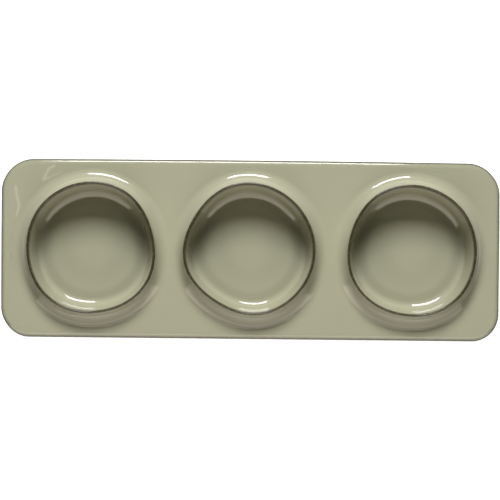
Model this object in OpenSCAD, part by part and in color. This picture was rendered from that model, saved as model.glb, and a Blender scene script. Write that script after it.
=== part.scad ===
// Relish tray: a hand-built stoneware deck with three round bowls let into it.
// Each bowl stands on its own foot ring, passes through a hole in the deck and is
// luted to it with a coil of clay above, smoothed to a cove, and a thin coil below.
// Origin on the table under the middle of the deck, +X to the right, +Y to the back.

/* [Bowls] */
// Inside diameter of each bowl, across its straight wall
bowl_bore_d = 86.4; // [70:0.2:105]
// Thickness of each bowl's wall
bowl_wall_t = 3.7; // [3:0.1:5]
// Depth of each bowl, from its rim to the middle of its floor
bowl_depth = 25; // [20.5:0.5:32]
// Thickness of each bowl's floor at the middle
floor_t = 5; // [3.5:0.1:8]
// How much the floor rises from its middle to its edge
floor_dish = 1; // [0.4:0.1:2]
// Radius of the inside corner between the wall and the floor
corner_r = 7.2; // [5:0.1:12]
// Radius of the outside corner under each bowl
belly_r = 5.5; // [3:0.5:8]

/* [Collars] */
// Bare lip of each bowl above its cove, with the rounded rim
lip_h = 2.8; // [2.3:0.1:6]
// Width of the cove, from the bowl's wall out over the deck
cove_run = 9.2; // [6:0.1:14]
// Height of the cove above the deck
cove_rise = 8; // [5:0.5:12]
// Radius of the thin coil that seals each bowl under the deck
under_coil_r = 2.2; // [1.5:0.1:2.8]

/* [Deck] */
// Thickness of the deck
deck_t = 8; // [6.5:0.1:11]
// Flat left between the coves of the left and middle bowls
left_gap = 0.3; // [0.3:0.1:20]
// Flat left between the coves of the middle and right bowls
right_gap = 2.3; // [0.3:0.1:20]
// Deck left beyond the left bowl's cove, at the left end
left_end_land = 9.2; // [5:0.1:30]
// Deck left beyond the right bowl's cove, at the right end
right_end_land = 7.2; // [5:0.1:30]
// Deck left beyond the coves, along the front and the back
side_land = 7.6; // [5:0.1:20]
// Radius of the two back corners, seen from above
back_corner_r = 23.5; // [12:0.5:32]
// Radius of the front left corner, seen from above
front_left_corner_r = 21.5; // [12:0.5:32]
// Radius of the front right corner, seen from above
front_right_corner_r = 19.5; // [12:0.5:32]
// How far in from the edge the deck's top starts to roll over
edge_top_run = 3.8; // [2:0.1:4.8]
// How far the top has rolled down where it meets the deck's side
edge_top_drop = 2.3; // [1:0.1:4.8]
// Rounding of the deck's lower edge
edge_under_r = 2.5; // [1:0.1:3]
// How far the back edge falls away from a straight line at its two ends
back_bow = 0.7; // [0.1:0.1:2]

/* [Feet] */
// Height of each foot ring
foot_h = 2.5; // [1.5:0.1:3.5]
// Width of each foot ring
foot_w = 4; // [3:0.1:7]
// Step from the edge of the bowl's base in to its foot ring
foot_inset = 1.2; // [0.5:0.1:4]
// Rounding of the two lower edges of each foot ring
foot_round = 0.8; // [0.4:0.1:1.2]

/* [Hidden] */
// Each bowl is out of round: a list of lobe count, height as a share of the rim's
// radius, and the angle in degrees that the first lobe leans to. One lobe alone sets
// the whole rim a little to that side.
left_wobble_shares = [[2, 0.013, 194], [3, 0.010, 264], [4, 0.011, 225]];
middle_wobble_shares = [[1, 0.009, 104], [2, 0.0065, 258], [3, 0.013, 226], [4, 0.014, 46], [5, 0.004, 247]];
right_wobble_shares = [[2, 0.0115, 185], [3, 0.010, 274], [4, 0.010, 128]];
// How much of the wobble is left where the inside corner meets the floor
floor_grip_share = 0.6;
// Radii of the rings across the floor, as shares of the floor's own radius
floor_ring_shares = [0.8, 0.6, 0.4, 0.2];
// Angle that the cove has turned through where it meets the bowl's wall
cove_turn = 78;
// Overrun of cuts past the faces they open
overrun = 1;
// Sides of a lofted ring, and steps in each rounded stretch
sides = 48;
rim_steps = 6;
corner_steps = 6;
belly_steps = 4;
cove_steps = 7;
under_coil_steps = 3;
edge_steps = 4;
deck_corner_steps = 7;
back_edge_steps = 8;
foot_fn = 96;

glaze_colour = [0.65, 0.65, 0.545];
bare_clay_colour = [0.72, 0.66, 0.56];

// Radii of a bowl
bore_r = bowl_bore_d / 2;
out_r = bore_r + bowl_wall_t;
rim_r = bowl_wall_t / 2;
crest_r = bore_r + rim_r;
floor_r = bore_r - corner_r;
cove_r = out_r + cove_run;

// Heights above the table
floor_z = foot_h + floor_t;
rim_z = floor_z + bowl_depth;
deck_z = rim_z - lip_h - cove_rise;
deck_under_z = deck_z - deck_t;

// Roundings, limited by the walls they are on
belly = min(belly_r, deck_under_z - foot_h - under_coil_r);
edge_drop = min(edge_top_drop, deck_t / 2);
edge_under = min(edge_under_r, deck_t / 2);
base_r = out_r - belly;
foot_out_r = base_r - foot_inset;
foot_in_r = foot_out_r - foot_w;

// Plan of the deck, set out from its left end
half_w = cove_r + side_land;
half_l = (left_end_land + left_gap + right_gap + right_end_land) / 2 + 3 * cove_r;
left_x = cove_r + left_end_land - half_l;
middle_x = left_x + 2 * cove_r + left_gap;
right_x = middle_x + 2 * cove_r + right_gap;

// Steps from 0 to 1 along a rounded stretch
function steps(n) = [for (i = [0:n]) i / n];
function total(v) = v * [for (x = v) 1];

// How far a bowl bulges beyond a true circle at an angle
function bulge(shares, angle) =
    crest_r * total([for (lobe = shares) lobe[1] * cos(lobe[0] * angle - lobe[2])]);

// One ring of a loft. station is [radius, height, grip]: grip is how much of the
// bowl's wobble the ring follows, from 0 for a true circle to 1 for the wall itself.
function ring(station, shares) = [
    for (i = [0:sides - 1])
        let (angle = 360 * i / sides, r = station[0] + station[2] * bulge(shares, angle))
            [r * cos(angle), r * sin(angle), station[1]]
];

// Faces between neighbouring rings, where each ring has n points
function band_faces(n, from, to) = [
    for (i = [0:n - 1])
        let (next = (i + 1) % n)
            [from * n + i, to * n + i, to * n + next, from * n + next]
];

// Solid skinned over a stack of rings, closed by flat caps
module loft(rings) {
    n = len(rings[0]);
    last = len(rings) - 1;
    bottom = [for (i = [0:n - 1]) i];
    top = [for (i = [n - 1:-1:0]) last * n + i];
    bands = [for (j = [0:last - 1]) each band_faces(n, j, j + 1)];
    polyhedron(points = [for (r = rings) each r], faces = concat([bottom, top], bands), convexity = 6);
}

// Ring-shaped solid: the last ring is joined back to the first
module closed_loft(rings) {
    n = len(rings[0]);
    last = len(rings) - 1;
    bands = [for (j = [0:last]) each band_faces(n, j, (j + 1) % (last + 1))];
    polyhedron(points = [for (r = rings) each r], faces = bands, convexity = 6);
}

// Section of a bowl, from the edge of its base up the outside, over the rim and
// down the inside to the middle of the floor
belly_stations = [
    for (s = steps(belly_steps))
        [base_r + belly * sin(90 * s), foot_h + belly * (1 - cos(90 * s)), s]
];
rim_stations = [
    for (s = steps(rim_steps))
        [crest_r + rim_r * cos(180 * s), rim_z - rim_r + rim_r * sin(180 * s), 1]
];
corner_stations = [
    for (s = steps(corner_steps))
        let (turn = 90 * (1 - s))
            [
                floor_r + corner_r * sin(turn),
                floor_z + floor_dish + corner_r * (1 - cos(turn)),
                floor_grip_share * s + (1 - s)
            ]
];
floor_stations = [
    for (share = floor_ring_shares)
        [floor_r * share, floor_z + floor_dish * (1 - cos(180 * share)) / 2, floor_grip_share * share]
];

module bowl(shares) {
    stations = concat(belly_stations, rim_stations, corner_stations, floor_stations);
    color(glaze_colour)
        loft([for (s = stations) ring(s, shares)]);
}

// Concave coil in the corner between a bowl's wall and the deck. It sweeps from the
// deck at wall radius + run to the wall at deck height + rise, so a negative rise
// puts it under the deck. It feathers out on the deck and stops short of upright
// where it meets the wall.
module luting_coil(run, rise, at_z, step_count, shares) {
    half_run = run / sin(cove_turn);
    half_rise = rise / (1 - cos(cove_turn));
    sweep = [
        for (s = steps(step_count))
            let (turn = cove_turn * s)
                [
                    out_r + run - half_run * sin(turn),
                    at_z + half_rise * (1 - cos(turn)),
                    s
                ]
    ];
    corner = [[out_r, at_z, 1]];
    upward = rise > 0 ? concat(sweep, corner) : [for (j = [step_count:-1:0]) sweep[j], corner[0]];
    color(glaze_colour)
        closed_loft([for (s = upward) ring(s, shares)]);
}

module cove(shares) {
    luting_coil(cove_run, cove_rise, deck_z, cove_steps, shares);
}

module under_coil(shares) {
    luting_coil(under_coil_r, -under_coil_r, deck_under_z, under_coil_steps, shares);
}

// Plan of the deck, drawn in by inset: corner arcs, with points along the back edge
// so that it can bow
corner_plan = [
    [1, -1, front_right_corner_r, 270],
    [1, 1, back_corner_r, 0],
    [-1, 1, back_corner_r, 90],
    [-1, -1, front_left_corner_r, 180]
];

function corner_arc(corner, inset) = [
    for (s = steps(deck_corner_steps))
        let (angle = corner[3] + 90 * s, r = corner[2] - inset)
            [
                corner[0] * (half_l - corner[2]) + r * cos(angle),
                corner[1] * (half_w - corner[2]) + r * sin(angle)
            ]
];

function back_edge(inset) = [
    for (i = [1:back_edge_steps - 1])
        [(half_l - back_corner_r) * (1 - 2 * i / back_edge_steps), half_w - inset]
];

function bowed(p) = [p[0], p[1] - (p[1] > 0 ? back_bow * pow(p[0] / half_l, 2) * p[1] / half_w : 0)];

function deck_ring(inset, z) = [
    for (p = concat(
        corner_arc(corner_plan[0], inset),
        corner_arc(corner_plan[1], inset),
        back_edge(inset),
        corner_arc(corner_plan[2], inset),
        corner_arc(corner_plan[3], inset)
    ))
        let (q = bowed(p))
            [q[0], q[1], z]
];

deck_edge = concat(
    [
        for (s = steps(edge_steps))
            [edge_under * (1 - sin(90 * s)), deck_under_z + edge_under * (1 - cos(90 * s))]
    ],
    [
        for (s = steps(edge_steps))
            [edge_top_run * (1 - cos(90 * s)), deck_z - edge_drop * (1 - sin(90 * s))]
    ]
);

// Hole in the deck, the same outline as the bowl's wall that fills it
module bowl_hole(shares) {
    plan = [for (p = ring([out_r, 0, 1], shares)) [p[0], p[1]]];
    translate([0, 0, deck_under_z - overrun])
        linear_extrude(deck_t + 2 * overrun)
            polygon(plan);
}

module deck() {
    color(glaze_colour)
        difference() {
            loft([for (e = deck_edge) deck_ring(e[0], e[1])]);
            translate([left_x, 0, 0])
                bowl_hole(left_wobble_shares);
            translate([middle_x, 0, 0])
                bowl_hole(middle_wobble_shares);
            translate([right_x, 0, 0])
                bowl_hole(right_wobble_shares);
        }
}

// Foot ring, the only part left bare of glaze so that it can stand in the kiln
module foot_ring() {
    color(bare_clay_colour)
        rotate_extrude($fn = foot_fn)
            polygon([
                [foot_in_r, foot_h],
                [foot_in_r, foot_round],
                [foot_in_r + foot_round, 0],
                [foot_out_r - foot_round, 0],
                [foot_out_r, foot_round],
                [foot_out_r, foot_h]
            ]);
}

module left_bowl() { translate([left_x, 0, 0]) bowl(left_wobble_shares); }
module middle_bowl() { translate([middle_x, 0, 0]) bowl(middle_wobble_shares); }
module right_bowl() { translate([right_x, 0, 0]) bowl(right_wobble_shares); }
module left_cove() { translate([left_x, 0, 0]) cove(left_wobble_shares); }
module middle_cove() { translate([middle_x, 0, 0]) cove(middle_wobble_shares); }
module right_cove() { translate([right_x, 0, 0]) cove(right_wobble_shares); }
module left_under_coil() { translate([left_x, 0, 0]) under_coil(left_wobble_shares); }
module middle_under_coil() { translate([middle_x, 0, 0]) under_coil(middle_wobble_shares); }
module right_under_coil() { translate([right_x, 0, 0]) under_coil(right_wobble_shares); }
module left_foot_ring() { translate([left_x, 0, 0]) foot_ring(); }
module middle_foot_ring() { translate([middle_x, 0, 0]) foot_ring(); }
module right_foot_ring() { translate([right_x, 0, 0]) foot_ring(); }

deck();
left_bowl();
middle_bowl();
right_bowl();
left_cove();
middle_cove();
right_cove();
left_under_coil();
middle_under_coil();
right_under_coil();
left_foot_ring();
middle_foot_ring();
right_foot_ring();
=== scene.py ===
import math
from collections import namedtuple

import bmesh
import bpy
from mathutils import Matrix, Vector


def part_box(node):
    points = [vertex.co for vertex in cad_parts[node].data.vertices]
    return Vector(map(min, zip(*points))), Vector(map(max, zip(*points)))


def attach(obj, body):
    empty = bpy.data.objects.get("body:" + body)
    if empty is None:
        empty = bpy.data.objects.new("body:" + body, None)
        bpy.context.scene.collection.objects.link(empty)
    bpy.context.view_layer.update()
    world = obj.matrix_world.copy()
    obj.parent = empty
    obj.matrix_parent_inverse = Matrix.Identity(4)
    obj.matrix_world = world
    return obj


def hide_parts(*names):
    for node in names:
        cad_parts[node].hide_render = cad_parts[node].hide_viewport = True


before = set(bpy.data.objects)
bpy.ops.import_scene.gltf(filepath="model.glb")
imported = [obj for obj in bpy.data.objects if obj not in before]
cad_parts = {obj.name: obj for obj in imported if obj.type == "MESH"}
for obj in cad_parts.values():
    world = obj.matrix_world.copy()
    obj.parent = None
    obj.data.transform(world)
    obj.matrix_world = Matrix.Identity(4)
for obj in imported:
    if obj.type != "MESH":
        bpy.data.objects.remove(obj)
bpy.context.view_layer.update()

# Three bowls, thrown in stoneware clay and left a little out of round by the potter's hand.
# Each has a rounded rim, a wall that leans out a little, a swept inside corner and a dished
# floor. They are glazed all over but for the ring of bare clay that each one stands on.
MM = 0.001
deck_low, deck_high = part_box("deck")
foot_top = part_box("middle_foot_ring")[1].z
rim_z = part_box("middle_bowl")[1].z
wall_t = 3.7 * MM
out_r = 46.9 * MM
crest_r = out_r - wall_t / 2
rim_crest_r = 45.5 * MM
rim_bore_r = 44.6 * MM
rim_drop_out = 1.6 * MM
rim_drop_in = 1.3 * MM
belly_r = 5.5 * MM
base_r = out_r - belly_r
floor_r = 35.6 * MM
floor_t = 4.2 * MM
floor_dish = 1.5 * MM
floor_z = foot_top + floor_t
floor_grip = 0.6
bowl_sides = 216
merge_gap = 0.001 * MM

# How each rim is out of round: lobe count, height as a share of the rim's radius, and the
# angle in degrees that the first lobe leans to. One lobe alone sets the rim to that side.
wobbles = {
    "left": ((2, 0.013, 194), (3, 0.010, 264), (4, 0.011, 225)),
    "middle": ((1, 0.009, 104), (2, 0.0065, 258), (3, 0.013, 226), (4, 0.014, 46), (5, 0.004, 247)),
    "right": ((2, 0.0115, 185), (3, 0.010, 274), (4, 0.010, 128)),
}
bowl_x = {}
for side in wobbles:
    ring_low, ring_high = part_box(side + "_foot_ring")
    bowl_x[side] = (ring_low.x + ring_high.x) / 2

# One ring of the potter's profile: grip is how much of the wobble it follows, thin is how thin
# the glaze has run there, and the last value how much painted shade darkens the glaze there.
Station = namedtuple("Station", "radius height grip thin deep", defaults=(1, 0, 0))


def bulge(side, angle):
    """How far a bowl's wall stands out from a true circle at an angle round it."""
    lobes = wobbles[side]
    swell = sum(share * math.cos(count * angle - math.radians(lean)) for count, share, lean in lobes)
    return crest_r * swell


def shares(steps, skip_first=False):
    """Even steps from 0 to 1."""
    return [i / steps for i in range(1 if skip_first else 0, steps + 1)]


def quarter_turn(steps, skip_first=False):
    """Sine, cosine and share of the way at even steps round a quarter turn."""
    return [(math.sin(math.pi / 2 * s), math.cos(math.pi / 2 * s), s) for s in shares(steps, skip_first)]


def smooth(low, high, value):
    """Eases from 0 at low to 1 at high."""
    t = min(max((value - low) / (high - low), 0), 1)
    return t * t * (3 - 2 * t)


def thrown(stations, side):
    """Spins a profile once round and pushes it out of round like the bowl on that side."""
    bm = bmesh.new()
    grip = bm.verts.layers.float.new("grip")
    thin = bm.verts.layers.float.new("thin_glaze")
    deep = bm.verts.layers.float.new("painted_shade")
    chain = []
    for station in stations:
        vert = bm.verts.new((station.radius, 0, station.height))
        vert[grip] = station.grip
        vert[thin] = station.thin
        vert[deep] = station.deep
        chain.append(vert)
    links = [bm.edges.new(pair) for pair in zip(chain, chain[1:])]
    bmesh.ops.spin(
        bm, geom=chain + links, cent=(0, 0, 0), axis=(0, 0, 1), angle=math.tau,
        steps=bowl_sides, use_merge=True,
    )
    bmesh.ops.remove_doubles(bm, verts=bm.verts, dist=merge_gap)
    bmesh.ops.recalc_face_normals(bm, faces=bm.faces)
    for vert in bm.verts:
        radius = math.hypot(vert.co.x, vert.co.y)
        if radius > 0:
            grown = (radius + vert[grip] * bulge(side, math.atan2(vert.co.y, vert.co.x))) / radius
            vert.co.x *= grown
            vert.co.y *= grown
    bm.verts.layers.float.remove(grip)
    bmesh.ops.translate(bm, verts=bm.verts, vec=(bowl_x[side], 0, 0))
    return bm


crease = math.radians(40)


def soften(bm):
    """Shades a mesh smooth everywhere but at its sharp edges."""
    for face in bm.faces:
        face.smooth = True
    for edge in bm.edges:
        edge.smooth = edge.calc_face_angle(0) < crease


def fired(bm, name, finish):
    """Turns a finished bmesh into a piece of the tray that rides on its one body."""
    soften(bm)
    mesh = bpy.data.meshes.new(name)
    bm.to_mesh(mesh)
    bm.free()
    mesh.materials.append(finish)
    piece = bpy.data.objects.new(name, mesh)
    bpy.context.scene.collection.objects.link(piece)
    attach(piece, "root")
    return piece


def linear(hex_colour):
    """Linear colour with full alpha for an sRGB hex value."""
    channels = [int(hex_colour[i:i + 2], 16) / 255 for i in (1, 3, 5)]
    return [c / 12.92 if c <= 0.04045 else ((c + 0.055) / 1.055) ** 2.4 for c in channels] + [1]


def node(tree, kind, settings=None, links=None):
    """Adds a shader node: settings are its properties and unlinked inputs, links its linked ones.

    A key is a name, or the number of an input that shares its name with others.
    """
    made = tree.nodes.new(kind)
    for key, value in (settings or {}).items():
        if isinstance(key, int) or key in made.inputs:
            made.inputs[key].default_value = value
        else:
            setattr(made, key, value)
    for key, socket in (links or {}).items():
        tree.links.new(socket, made.inputs[key])
    return made


# A Mix node's two colour inputs and its colour output go by these numbers.
COLOUR_A = 6
COLOUR_B = 7
COLOUR_OUT = 2

# Sage glaze: a glossy feldspathic glaze, dipped and fired in reduction. It lies evenly on the
# flats and runs thin on the rims, where the brown iron of the body shows. Its colour is painted
# darker as shade in the corners and hollows, and lighter as highlights in a few streaks.
cloud_mm = 38
break_mm = 2.5
break_least = 0.75
break_spread = 0.5
ripple_mm = 14
glossy_roughness = 0.06
thin_roughness = 0.18
glaze = bpy.data.materials.new("sage_stoneware_glaze")
glaze.use_nodes = True
tree = glaze.node_tree
tree.nodes.clear()
place = node(tree, "ShaderNodeTexCoord").outputs["Object"]
cloud = node(
    tree, "ShaderNodeTexNoise", {"Scale": 1 / (cloud_mm * MM), "Detail": 3, "Roughness": 0.5},
    {"Vector": place},
)
cloud_colour = node(
    tree, "ShaderNodeMix", {"data_type": "RGBA", COLOUR_A: linear("#A7A68E"), COLOUR_B: linear("#AEAE95")},
    {"Factor": cloud.outputs["Fac"]},
)
# Painted shade: the colour darkens in the bowls' corners, on their inner walls, on the floors' outer rings
# and in the coves next to the walls.
painted_shade_mask = node(tree, "ShaderNodeAttribute", {"attribute_name": "painted_shade"})
shaded_glaze_colour = node(
    tree, "ShaderNodeMix", {"data_type": "RGBA", COLOUR_B: linear("#9A9983")},
    {"Factor": painted_shade_mask.outputs["Fac"], COLOUR_A: cloud_colour.outputs[COLOUR_OUT]},
)
# Painted highlight: the colour turns lighter along the streaks near the deck's back left corner.
streak_light_mask = node(tree, "ShaderNodeAttribute", {"attribute_name": "painted_streak_light"})
streak_lit_colour = node(
    tree, "ShaderNodeMix", {"data_type": "RGBA", COLOUR_B: linear("#C0BFA3")},
    {"Factor": streak_light_mask.outputs["Fac"], COLOUR_A: shaded_glaze_colour.outputs[COLOUR_OUT]},
)
# Where the glaze is thin it breaks to brown unevenly, so a fine noise strengthens or weakens it.
run = node(tree, "ShaderNodeAttribute", {"attribute_name": "thin_glaze"})
break_noise = node(
    tree, "ShaderNodeTexNoise", {"Scale": 1 / (break_mm * MM), "Detail": 2}, {"Vector": place},
)
break_amount = node(
    tree, "ShaderNodeMath", {"operation": "MULTIPLY_ADD", 1: break_spread, 2: break_least},
    {0: break_noise.outputs["Fac"]},
)
break_share = node(
    tree, "ShaderNodeMath", {"operation": "MULTIPLY", "use_clamp": True},
    {0: run.outputs["Fac"], 1: break_amount.outputs[0]},
)
broken_colour = node(
    tree, "ShaderNodeMix", {"data_type": "RGBA", COLOUR_B: linear("#3E3A25")},
    {"Factor": break_share.outputs[0], COLOUR_A: streak_lit_colour.outputs[COLOUR_OUT]},
)
dryness = node(
    tree, "ShaderNodeMath",
    {"operation": "MULTIPLY_ADD", 1: thin_roughness - glossy_roughness, 2: glossy_roughness},
    {0: break_share.outputs[0]},
)
ripple = node(
    tree, "ShaderNodeTexNoise", {"Scale": 1 / (ripple_mm * MM), "Detail": 1, "Roughness": 0.4},
    {"Vector": place},
)
ripple_bump = node(
    tree, "ShaderNodeBump", {"Strength": 0.25, "Distance": 0.1 * MM}, {"Height": ripple.outputs["Fac"]},
)
shine = node(tree, "ShaderNodeBsdfPrincipled", {"IOR": 1.54}, {
    "Base Color": broken_colour.outputs[COLOUR_OUT],
    "Roughness": dryness.outputs[0],
    "Normal": ripple_bump.outputs["Normal"],
})
node(tree, "ShaderNodeOutputMaterial", links={"Surface": shine.outputs["BSDF"]})

# The profile, from the middle of the base out, over the rim and down to the middle of the floor.
# The glaze is thinnest on the rim's crest, and its painted shade darkest where the floor meets the corner.
bore_thin = 0.65
# Share of painted shade on the inner wall and the upper part of the corner.
wall_shade = 0.4
base = [Station(base_r * s, foot_top, grip=0) for s in shares(8)[:-1]]
belly = [
    Station(base_r + belly_r * sine, foot_top + belly_r * (1 - cosine), grip=s)
    for sine, cosine, s in quarter_turn(10)
]
rim_out = [
    Station(
        rim_crest_r + (out_r - rim_crest_r) * cosine,
        rim_z - rim_drop_out * (1 - sine),
        thin=smooth(0.25, 0.7, s),
    )
    for sine, cosine, s in quarter_turn(12)
]
rim_in = [
    Station(
        rim_crest_r - (rim_crest_r - rim_bore_r) * sine,
        rim_z - rim_drop_in * (1 - cosine),
        thin=1 - (1 - bore_thin) * smooth(0.6, 1, s),
    )
    for sine, cosine, s in quarter_turn(10, skip_first=True)
]
outer_wall = [
    Station(out_r, belly[-1].height + (rim_out[0].height - belly[-1].height) * s)
    for s in shares(8)[1:-1]
]

# The inside corner sweeps up from the floor, then turns tighter into the wall. The potter's
# fingers have left faint rings in it.
floor_slope = math.atan(2 * floor_dish / floor_r)
sweep_slope = math.radians(32)
wall_slope = math.radians(79.5)
sweep_r = 8.85 * MM
tight_r = 3.6 * MM
ring_pitch = 2.1 * MM
ring_height = 0.014 * MM
corner = []
for s in shares(40):
    slope = wall_slope + (floor_slope - wall_slope) * s
    swept = min(slope, sweep_slope)
    sweep_across = sweep_r * (math.sin(swept) - math.sin(floor_slope))
    sweep_up = sweep_r * (math.cos(floor_slope) - math.cos(swept))
    across = sweep_across + tight_r * (math.sin(slope) - math.sin(swept))
    up = sweep_up + tight_r * (math.cos(swept) - math.cos(slope))
    corner.append(Station(
        floor_r + across + ring_height * math.sin(math.tau * across / ring_pitch),
        floor_z + floor_dish + up,
        grip=1 - (1 - floor_grip) * s,
        deep=wall_shade + (1 - wall_shade) * smooth(0.6, 1, s),
    ))
inner_wall = [
    Station(
        rim_bore_r + (corner[0].radius - rim_bore_r) * s,
        rim_in[-1].height + (corner[0].height - rim_in[-1].height) * s,
        thin=bore_thin * (1 - smooth(0, 0.2, s)),
        deep=wall_shade * smooth(0, 0.5, s),
    )
    for s in shares(20)[1:-1]
]
# The floor carries painted shade in a ring next to the corner, fading towards its middle.
floor = [
    Station(
        floor_r * (1 - s),
        floor_z + floor_dish * (1 - s) ** 2,
        grip=floor_grip * (1 - s),
        deep=(1 - wall_shade) * (1 - smooth(0.05, 0.2, s)) + wall_shade * (1 - smooth(0.4, 0.8, s)),
    )
    for s in shares(24, skip_first=True)
]
profile = base + belly + outer_wall + rim_out + rim_in + inner_wall + corner + floor
for side in wobbles:
    bowl = fired(thrown(profile, side), side + "_bowl_glazed", glaze)
    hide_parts(side + "_bowl")

# The clay of the coves and the deck is smoothed together while wet, so one height rules both:
# each bowl's coil sweeps down its wall in a hollow curve and feathers out over the slab.
cove_back_r = 9.3 * MM
cove_front_r = 10.6 * MM
cove_turn = math.radians(77)
cove_run = cove_front_r * math.sin(cove_turn)
join_margin = 0.8 * MM
feather = 4 * MM
cove_join = cove_run + join_margin
cove_reach = cove_run + feather
lap_inset = 1.5 * MM
lap_width = 0.55 * MM
lap_height = 0.05 * MM


def wall_gap(side, x, y):
    """Distance from a bowl's wall, out over the deck."""
    radius = math.hypot(x - bowl_x[side], y)
    fade = min(max(1 - (radius - out_r) / cove_reach, 0), 1)
    return radius - out_r - fade * bulge(side, math.atan2(y, x - bowl_x[side]))


def cove_height(side, x, y, least_gap):
    """Height over the slab near a bowl: the hollow curve, fuller in front, and its lapped edge."""
    gap = max(wall_gap(side, x, y), least_gap)
    backward = y / math.hypot(x - bowl_x[side], y)
    curve_r = cove_front_r + (cove_back_r - cove_front_r) * smooth(-1, 1, backward)
    turned = max(math.sin(cove_turn) - gap / curve_r, 0)
    lap = lap_height * math.exp(-((gap - curve_r * math.sin(cove_turn) + lap_inset) / lap_width) ** 2)
    return curve_r * (1 - math.sqrt(1 - turned * turned)) + lap


def clay_height(x, y, least_gap=0):
    """Height of the wet clay's skin at a point of the deck."""
    return deck_high.z + sum(cove_height(side, x, y, least_gap) for side in wobbles)


# The deck: a slab rolled out in clay 8 mm thick, cut to a long rectangle with round corners.
# Its edges are sponged over, more above than below. By hand, its back edge came out bowed a
# little and its left end a little short in front.
half_l = deck_high.x
half_w = deck_high.y
slab_t = deck_high.z - deck_low.z
back_corner_r = 23.5 * MM
front_left_corner_r = 21.5 * MM
front_right_corner_r = 19.5 * MM
edge_run = 3.8 * MM
edge_drop = 2.3 * MM
edge_under = 2.5 * MM
back_bow = 0.7 * MM
left_trim = 0.35 * MM
left_lean = 0.75 * MM
right_trim = 0.25 * MM
trim_run = 20 * MM
trim_hold = 4 * MM
edge_hint = 0.2
grid_pitch = 1 * MM


def corner_radius(x, y):
    """Radius of the corner on a point's side of the deck."""
    if y > 0:
        return back_corner_r
    return front_left_corner_r if x < 0 else front_right_corner_r


def round_corners(x, y, inset):
    """Moves a point of a square-cornered sheet to its place on the round-cornered one."""
    radius = corner_radius(x, y) - inset
    core_x = half_l - inset - radius
    core_y = half_w - inset - radius
    across = (abs(x) - core_x) / radius
    along = (abs(y) - core_y) / radius
    if across <= 0 or along <= 0:
        return x, y
    reach = max(across, along) * radius
    angle = math.pi / 4 * (along / across if along <= across else 2 - across / along)
    round_x = core_x + reach * math.cos(angle)
    round_y = core_y + reach * math.sin(angle)
    return math.copysign(round_x, x), math.copysign(round_y, y)


def outward(x, y):
    """The outline's own direction at a point near the edge."""
    radius = corner_radius(x, y)
    core_x = min(max(x, radius - half_l), half_l - radius)
    core_y = min(max(y, radius - half_w), half_w - radius)
    return Vector((x - core_x, y - core_y)).normalized()


def edge_thin(drop):
    """How thin the glaze has run on the edge, at a depth below the slab's top."""
    hint = edge_hint * smooth(0.01 * edge_drop, 0.15 * edge_drop, drop)
    rest = (1 - edge_hint) * smooth(0.2 * edge_drop, 0.5 * edge_drop, drop)
    return (hint + rest) * (1 - smooth(0.5 * slab_t, 0.8 * slab_t, drop))


# Light streaks near the back left corner, painted into the glaze's colour as highlights. Their
# points are in millimetres from the middle of the deck.
streaks = (
    ((-147.4, 49.1), (-145.8, 52.3), (-143.6, 56.6), (-139.7, 58.8)),
    ((-147.1, 48.7), (-141.1, 50.6), (-135.4, 53.2), (-129.8, 53.9)),
    ((-167.3, 43.5), (-166.5, 37.1), (-164.7, 30.0), (-166.1, 22.9)),
)
streak_half_w = 0.9 * MM


def streak_gap(x, y):
    """Distance from the nearest painted streak of highlight."""
    here = Vector((x, y))
    gaps = []
    for line in streaks:
        for first, last in zip(line, line[1:]):
            start = Vector(first) * MM
            along = Vector(last) * MM - start
            share = min(max((here - start).dot(along) / along.length_squared, 0), 1)
            gaps.append((here - start - along * share).length)
    return min(gaps)


slab = bmesh.new()
slab_thin = slab.verts.layers.float.new("thin_glaze")
slab_streak_light = slab.verts.layers.float.new("painted_streak_light")
flat_l = half_l - edge_run
flat_w = half_w - edge_run
bmesh.ops.create_grid(
    slab, x_segments=round(2 * flat_l / grid_pitch), y_segments=round(2 * flat_w / grid_pitch), size=1,
)
for vert in slab.verts:
    vert.co.x, vert.co.y = round_corners(vert.co.x * flat_l, vert.co.y * flat_w, edge_run)
    vert.co.z = 0
roll_over = [
    (edge_run * (1 - sine), edge_drop * (1 - cosine))
    for sine, cosine, _ in quarter_turn(12, skip_first=True)
]
roll_under = [
    (edge_under * (1 - cosine), slab_t - edge_under * (1 - sine))
    for sine, cosine, _ in quarter_turn(8)
]
rolled_inset = edge_run
edge_loop = [edge for edge in slab.edges if edge.is_boundary]
for inset, drop in roll_over + roll_under:
    made = bmesh.ops.extrude_edge_only(slab, edges=edge_loop)["geom"]
    edge_loop = [item for item in made if isinstance(item, bmesh.types.BMEdge) and item.is_boundary]
    for vert in {vert for edge in edge_loop for vert in edge.verts}:
        push = outward(vert.co.x, vert.co.y) * (rolled_inset - inset)
        vert.co.x += push.x
        vert.co.y += push.y
        vert.co.z = -drop
        vert[slab_thin] = edge_thin(drop)
    rolled_inset = inset

# Under a cove the slab's top climbs with it only as far as the covered gap from the wall, and
# sinks a little all the way, so that the cove's skin alone shows.
covered_gap = 7 * MM
sink_rate = 0.006 / MM
for vert in slab.verts:
    if vert.co.z > -edge_drop:
        gap = min(wall_gap(side, vert.co.x, vert.co.y) for side in wobbles)
        sink = sink_rate * (cove_join - min(max(gap, 0), cove_join)) ** 2
        vert.co.z += clay_height(vert.co.x, vert.co.y, covered_gap) - sink
        # The streaks' painted highlight.
        vert[slab_streak_light] = math.exp(-(streak_gap(vert.co.x, vert.co.y) / streak_half_w) ** 2)
    else:
        vert.co.z += deck_high.z
bmesh.ops.contextual_create(slab, geom=edge_loop)
bmesh.ops.recalc_face_normals(slab, faces=slab.faces)
for vert in slab.verts:
    if vert.co.y > 0:
        vert.co.y -= back_bow * (vert.co.x / half_l) ** 2 * vert.co.y / half_w
    forward = (half_w - vert.co.y) / (2 * half_w)
    trim = left_trim + left_lean * forward ** 2 if vert.co.x < 0 else right_trim
    trimmed = trim * smooth(half_l - trim_run, half_l - trim_hold, abs(vert.co.x))
    vert.co.x -= math.copysign(trimmed, vert.co.x)
deck = fired(slab, "deck_glazed", glaze)
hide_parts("deck")

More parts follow.
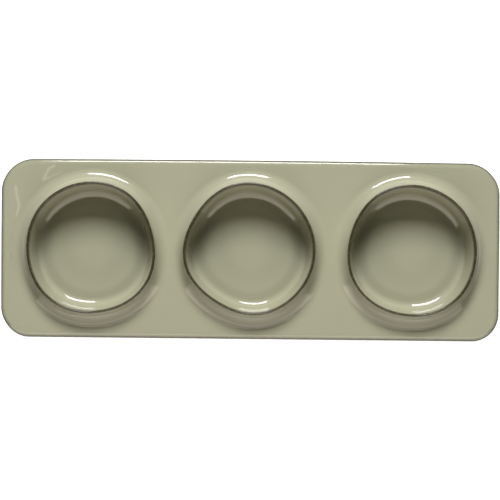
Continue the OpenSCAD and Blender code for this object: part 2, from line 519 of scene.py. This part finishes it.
# Each hole follows the wall of the bowl that fills it, cut with a needle round the bowl itself.
for side in wobbles:
    plug = bmesh.new()
    bmesh.ops.create_cone(
        plug, cap_ends=True, segments=bowl_sides, radius1=out_r, radius2=out_r, depth=4 * slab_t,
        matrix=Matrix.Translation((0, 0, deck_high.z)),
    )
    for vert in plug.verts:
        grown = 1 + bulge(side, math.atan2(vert.co.y, vert.co.x)) / out_r
        vert.co.x = vert.co.x * grown + bowl_x[side]
        vert.co.y *= grown
    plug_mesh = bpy.data.meshes.new("hole")
    plug.to_mesh(plug_mesh)
    plug.free()
    cutter = bpy.data.objects.new("hole", plug_mesh)
    bpy.context.scene.collection.objects.link(cutter)
    cut = deck.modifiers.new("hole", "BOOLEAN")
    cut.object = cutter
    cut.operation = "DIFFERENCE"
    cut.solver = "EXACT"
    bpy.context.view_layer.update()
    cut_mesh = bpy.data.meshes.new_from_object(deck.evaluated_get(bpy.context.evaluated_depsgraph_get()))
    deck.modifiers.clear()
    deck.data = cut_mesh
    bpy.data.objects.remove(cutter)
cut_deck = bmesh.new()
cut_deck.from_mesh(deck.data)
soften(cut_deck)
cut_deck.to_mesh(deck.data)
cut_deck.free()

# The coves: a coil of soft clay pressed round each bowl and smoothed with a wet finger, from
# the wall down to nothing on the deck. Past the middle between two bowls, each one dips under
# the next, so that only one skin shows.
hidden_drop = 1 * MM
dip_rate = 0.03 / MM
dip_most = 0.8 * MM
crowding = 1.5
for side in wobbles:
    sweep = []
    # Painted shade darkens the glaze in the cove's hollow, next to the wall.
    for s in shares(60):
        spread = s ** crowding
        sweep.append(Station(
            out_r + cove_reach * spread, 0, grip=1 - s, deep=0.5 * (1 - smooth(0.1, 0.5, spread)),
        ))
    hidden_out = Station(out_r + cove_reach, -hidden_drop, grip=0)
    hidden_in = Station(out_r - wall_t / 2, -hidden_drop)
    coil = thrown([hidden_in] + sweep + [hidden_out, hidden_in], side)
    for vert in coil.verts:
        if vert.co.z < 0:
            vert.co.z += deck_high.z
        else:
            gap = wall_gap(side, vert.co.x, vert.co.y)
            next_gap = min(wall_gap(other, vert.co.x, vert.co.y) for other in wobbles if other != side)
            dip = dip_rate * (max(gap - cove_join, 0) ** 2 + max(gap - next_gap, 0) ** 2)
            vert.co.z = clay_height(vert.co.x, vert.co.y) - min(dip, dip_most)
    cove = fired(coil, side + "_cove_glazed", glaze)
    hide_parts(side + "_cove")

# The seals: a thin coil of clay under the deck, pushed into the corner round each bowl with a
# fingertip and glazed over.
seal_r = 2.2 * MM
seal_bed = 0.2 * seal_r
for side in wobbles:
    seal_arc = [
        Station(out_r + seal_r * (1 - sine), deck_low.z - seal_r * (1 - cosine))
        for sine, cosine, _ in quarter_turn(10)
    ]
    bedded = [Station(out_r - seal_bed, deck_low.z + seal_bed), seal_arc[0]]
    seal = fired(thrown(seal_arc + bedded, side), side + "_under_coil_glazed", glaze)
    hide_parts(side + "_under_coil")

# Foot rings: coils of the same clay, turned true on the wheel and wiped clean of glaze, so
# that the tray can stand on the kiln shelf. The bare clay is buff, dry and a little gritty.
grit_mm = 0.7
bare = bpy.data.materials.new("bare_stoneware")
bare.use_nodes = True
tree = bare.node_tree
tree.nodes.clear()
place = node(tree, "ShaderNodeTexCoord").outputs["Object"]
grit = node(tree, "ShaderNodeTexNoise", {"Scale": 1 / (grit_mm * MM), "Detail": 4}, {"Vector": place})
grit_colour = node(
    tree, "ShaderNodeMix", {"data_type": "RGBA", COLOUR_A: linear("#B29F84"), COLOUR_B: linear("#C9B99E")},
    {"Factor": grit.outputs["Fac"]},
)
grit_bump = node(
    tree, "ShaderNodeBump", {"Strength": 0.5, "Distance": 0.1 * MM}, {"Height": grit.outputs["Fac"]},
)
dry = node(tree, "ShaderNodeBsdfPrincipled", {"Roughness": 0.85}, {
    "Base Color": grit_colour.outputs[COLOUR_OUT],
    "Normal": grit_bump.outputs["Normal"],
})
node(tree, "ShaderNodeOutputMaterial", links={"Surface": dry.outputs["BSDF"]})
for side in wobbles:
    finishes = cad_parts[side + "_foot_ring"].data.materials
    finishes.clear()
    finishes.append(bare)

# The table: a sheet of white paper, a hair below the foot rings. It is lifted to white where it
# is seen straight, in gloss or through glass, and takes the tray's shadow as plain paper does.
table_half = 3
table_gap = 0.02 * MM
table_bm = bmesh.new()
bmesh.ops.create_grid(
    table_bm, x_segments=1, y_segments=1, size=table_half, matrix=Matrix.Translation((0, 0, -table_gap)),
)
table_mesh = bpy.data.meshes.new("table_top")
table_bm.to_mesh(table_mesh)
table_bm.free()
paper = bpy.data.materials.new("white_paper")
paper.use_nodes = True
tree = paper.node_tree
tree.nodes.clear()
matt = node(tree, "ShaderNodeBsdfDiffuse", {"Color": linear("#F2F2F2")})
lift = node(tree, "ShaderNodeEmission", {"Color": linear("#FFFFFF"), "Strength": 0.85})
lifted = node(tree, "ShaderNodeAddShader", links={0: matt.outputs[0], 1: lift.outputs[0]})
seen = node(tree, "ShaderNodeLightPath")
straight_or_gloss = node(
    tree, "ShaderNodeMath", {"operation": "MAXIMUM"},
    {0: seen.outputs["Is Camera Ray"], 1: seen.outputs["Is Glossy Ray"]},
)
any_sight = node(
    tree, "ShaderNodeMath", {"operation": "MAXIMUM"},
    {0: straight_or_gloss.outputs[0], 1: seen.outputs["Is Transmission Ray"]},
)
choice = node(
    tree, "ShaderNodeMixShader",
    links={"Fac": any_sight.outputs[0], 1: matt.outputs[0], 2: lifted.outputs[0]},
)
node(tree, "ShaderNodeOutputMaterial", links={"Surface": choice.outputs[0]})
table_mesh.materials.append(paper)
table_top = bpy.data.objects.new("table_top", table_mesh)
bpy.context.scene.collection.objects.link(table_top)

# The lamps: a window and a softbox behind the tray, reflector cards and weak fills in front.
# Some are seen in the gloss alone and the others light the matt body of the glaze alone.
deck_middle = (0, 0, deck_high.z)
white = "#FFFFFF"
card_tint = "#FFF7EA"
fill_tint = "#FFF9EF"


def soft_lamp(name, place, aim, width, height, power, tint, in_gloss):
    """Adds a rectangular lamp that lights either the gloss of things or their matt body."""
    lamp = bpy.data.lights.new(name, "AREA")
    lamp.shape = "RECTANGLE"
    lamp.size = width
    lamp.size_y = height
    lamp.energy = power
    lamp.color = linear(tint)[:3]
    lamp_object = bpy.data.objects.new(name, lamp)
    lamp_object.location = place
    lamp_object.rotation_euler = (Vector(aim) - Vector(place)).to_track_quat("-Z", "Y").to_euler()
    lamp_object.visible_camera = False
    lamp_object.visible_glossy = in_gloss
    lamp_object.visible_diffuse = not in_gloss
    bpy.context.scene.collection.objects.link(lamp_object)


soft_lamp(
    "back_window", place=(-0.045, 1.6, 1.285), aim=deck_middle, width=0.85, height=0.685,
    power=59, tint=white, in_gloss=False,
)
soft_lamp(
    "back_softbox", place=(-0.026, 0.70, 0.608), aim=deck_middle, width=0.415, height=0.25,
    power=6.3, tint=white, in_gloss=True,
)
soft_lamp(
    "front_card", place=(-0.02, -0.44, 0.875), aim=(-0.02, 0, 0.875), width=1.25, height=0.85,
    power=8.7, tint=card_tint, in_gloss=True,
)
soft_lamp(
    "low_front_card", place=(-0.02, -0.44, 0.235), aim=(-0.02, 0, 0.235), width=1.25, height=0.43,
    power=2.7, tint=card_tint, in_gloss=True,
)
soft_lamp(
    "front_fill", place=(0, -0.8, 0.38), aim=deck_middle, width=0.5, height=0.3,
    power=2.85, tint=fill_tint, in_gloss=False,
)
soft_lamp(
    "low_front_fill", place=(0, -0.9, 0.15), aim=deck_middle, width=0.6, height=0.12,
    power=1.0, tint=fill_tint, in_gloss=False,
)

# The room: a weak warm light from all round, such as a studio's walls give back. Where the
# camera looks past the table it sees plain white instead.
world = bpy.data.worlds.new("dim_room")
world.use_nodes = True
tree = world.node_tree
tree.nodes.clear()
room = node(tree, "ShaderNodeBackground", {"Color": linear("#FFF6E7"), "Strength": 0.025})
backdrop = node(tree, "ShaderNodeBackground", {"Color": linear(white), "Strength": 1})
seen = node(tree, "ShaderNodeLightPath")
choice = node(
    tree, "ShaderNodeMixShader",
    links={"Fac": seen.outputs["Is Camera Ray"], 1: room.outputs[0], 2: backdrop.outputs[0]},
)
node(tree, "ShaderNodeOutputWorld", links={"Surface": choice.outputs[0]})
bpy.context.scene.world = world
bpy.context.scene.view_settings.view_transform = "Standard"

# The camera looks straight down from 1.3 m above the deck, turned 0.6 degrees. Its view is as
# wide there as the slab is long.
camera_height = 1.3
view_width = 2 * half_l
camera_roll = math.radians(0.61)
camera_y = -0.2 * MM
camera = bpy.data.objects.new("overhead", bpy.data.cameras.new("overhead"))
camera.data.sensor_width = 36
camera.data.lens = camera.data.sensor_width * camera_height / view_width
camera.location = (0, camera_y, deck_high.z + camera_height)
camera.rotation_euler = (0, 0, camera_roll)
bpy.context.scene.collection.objects.link(camera)
bpy.context.scene.camera = camera
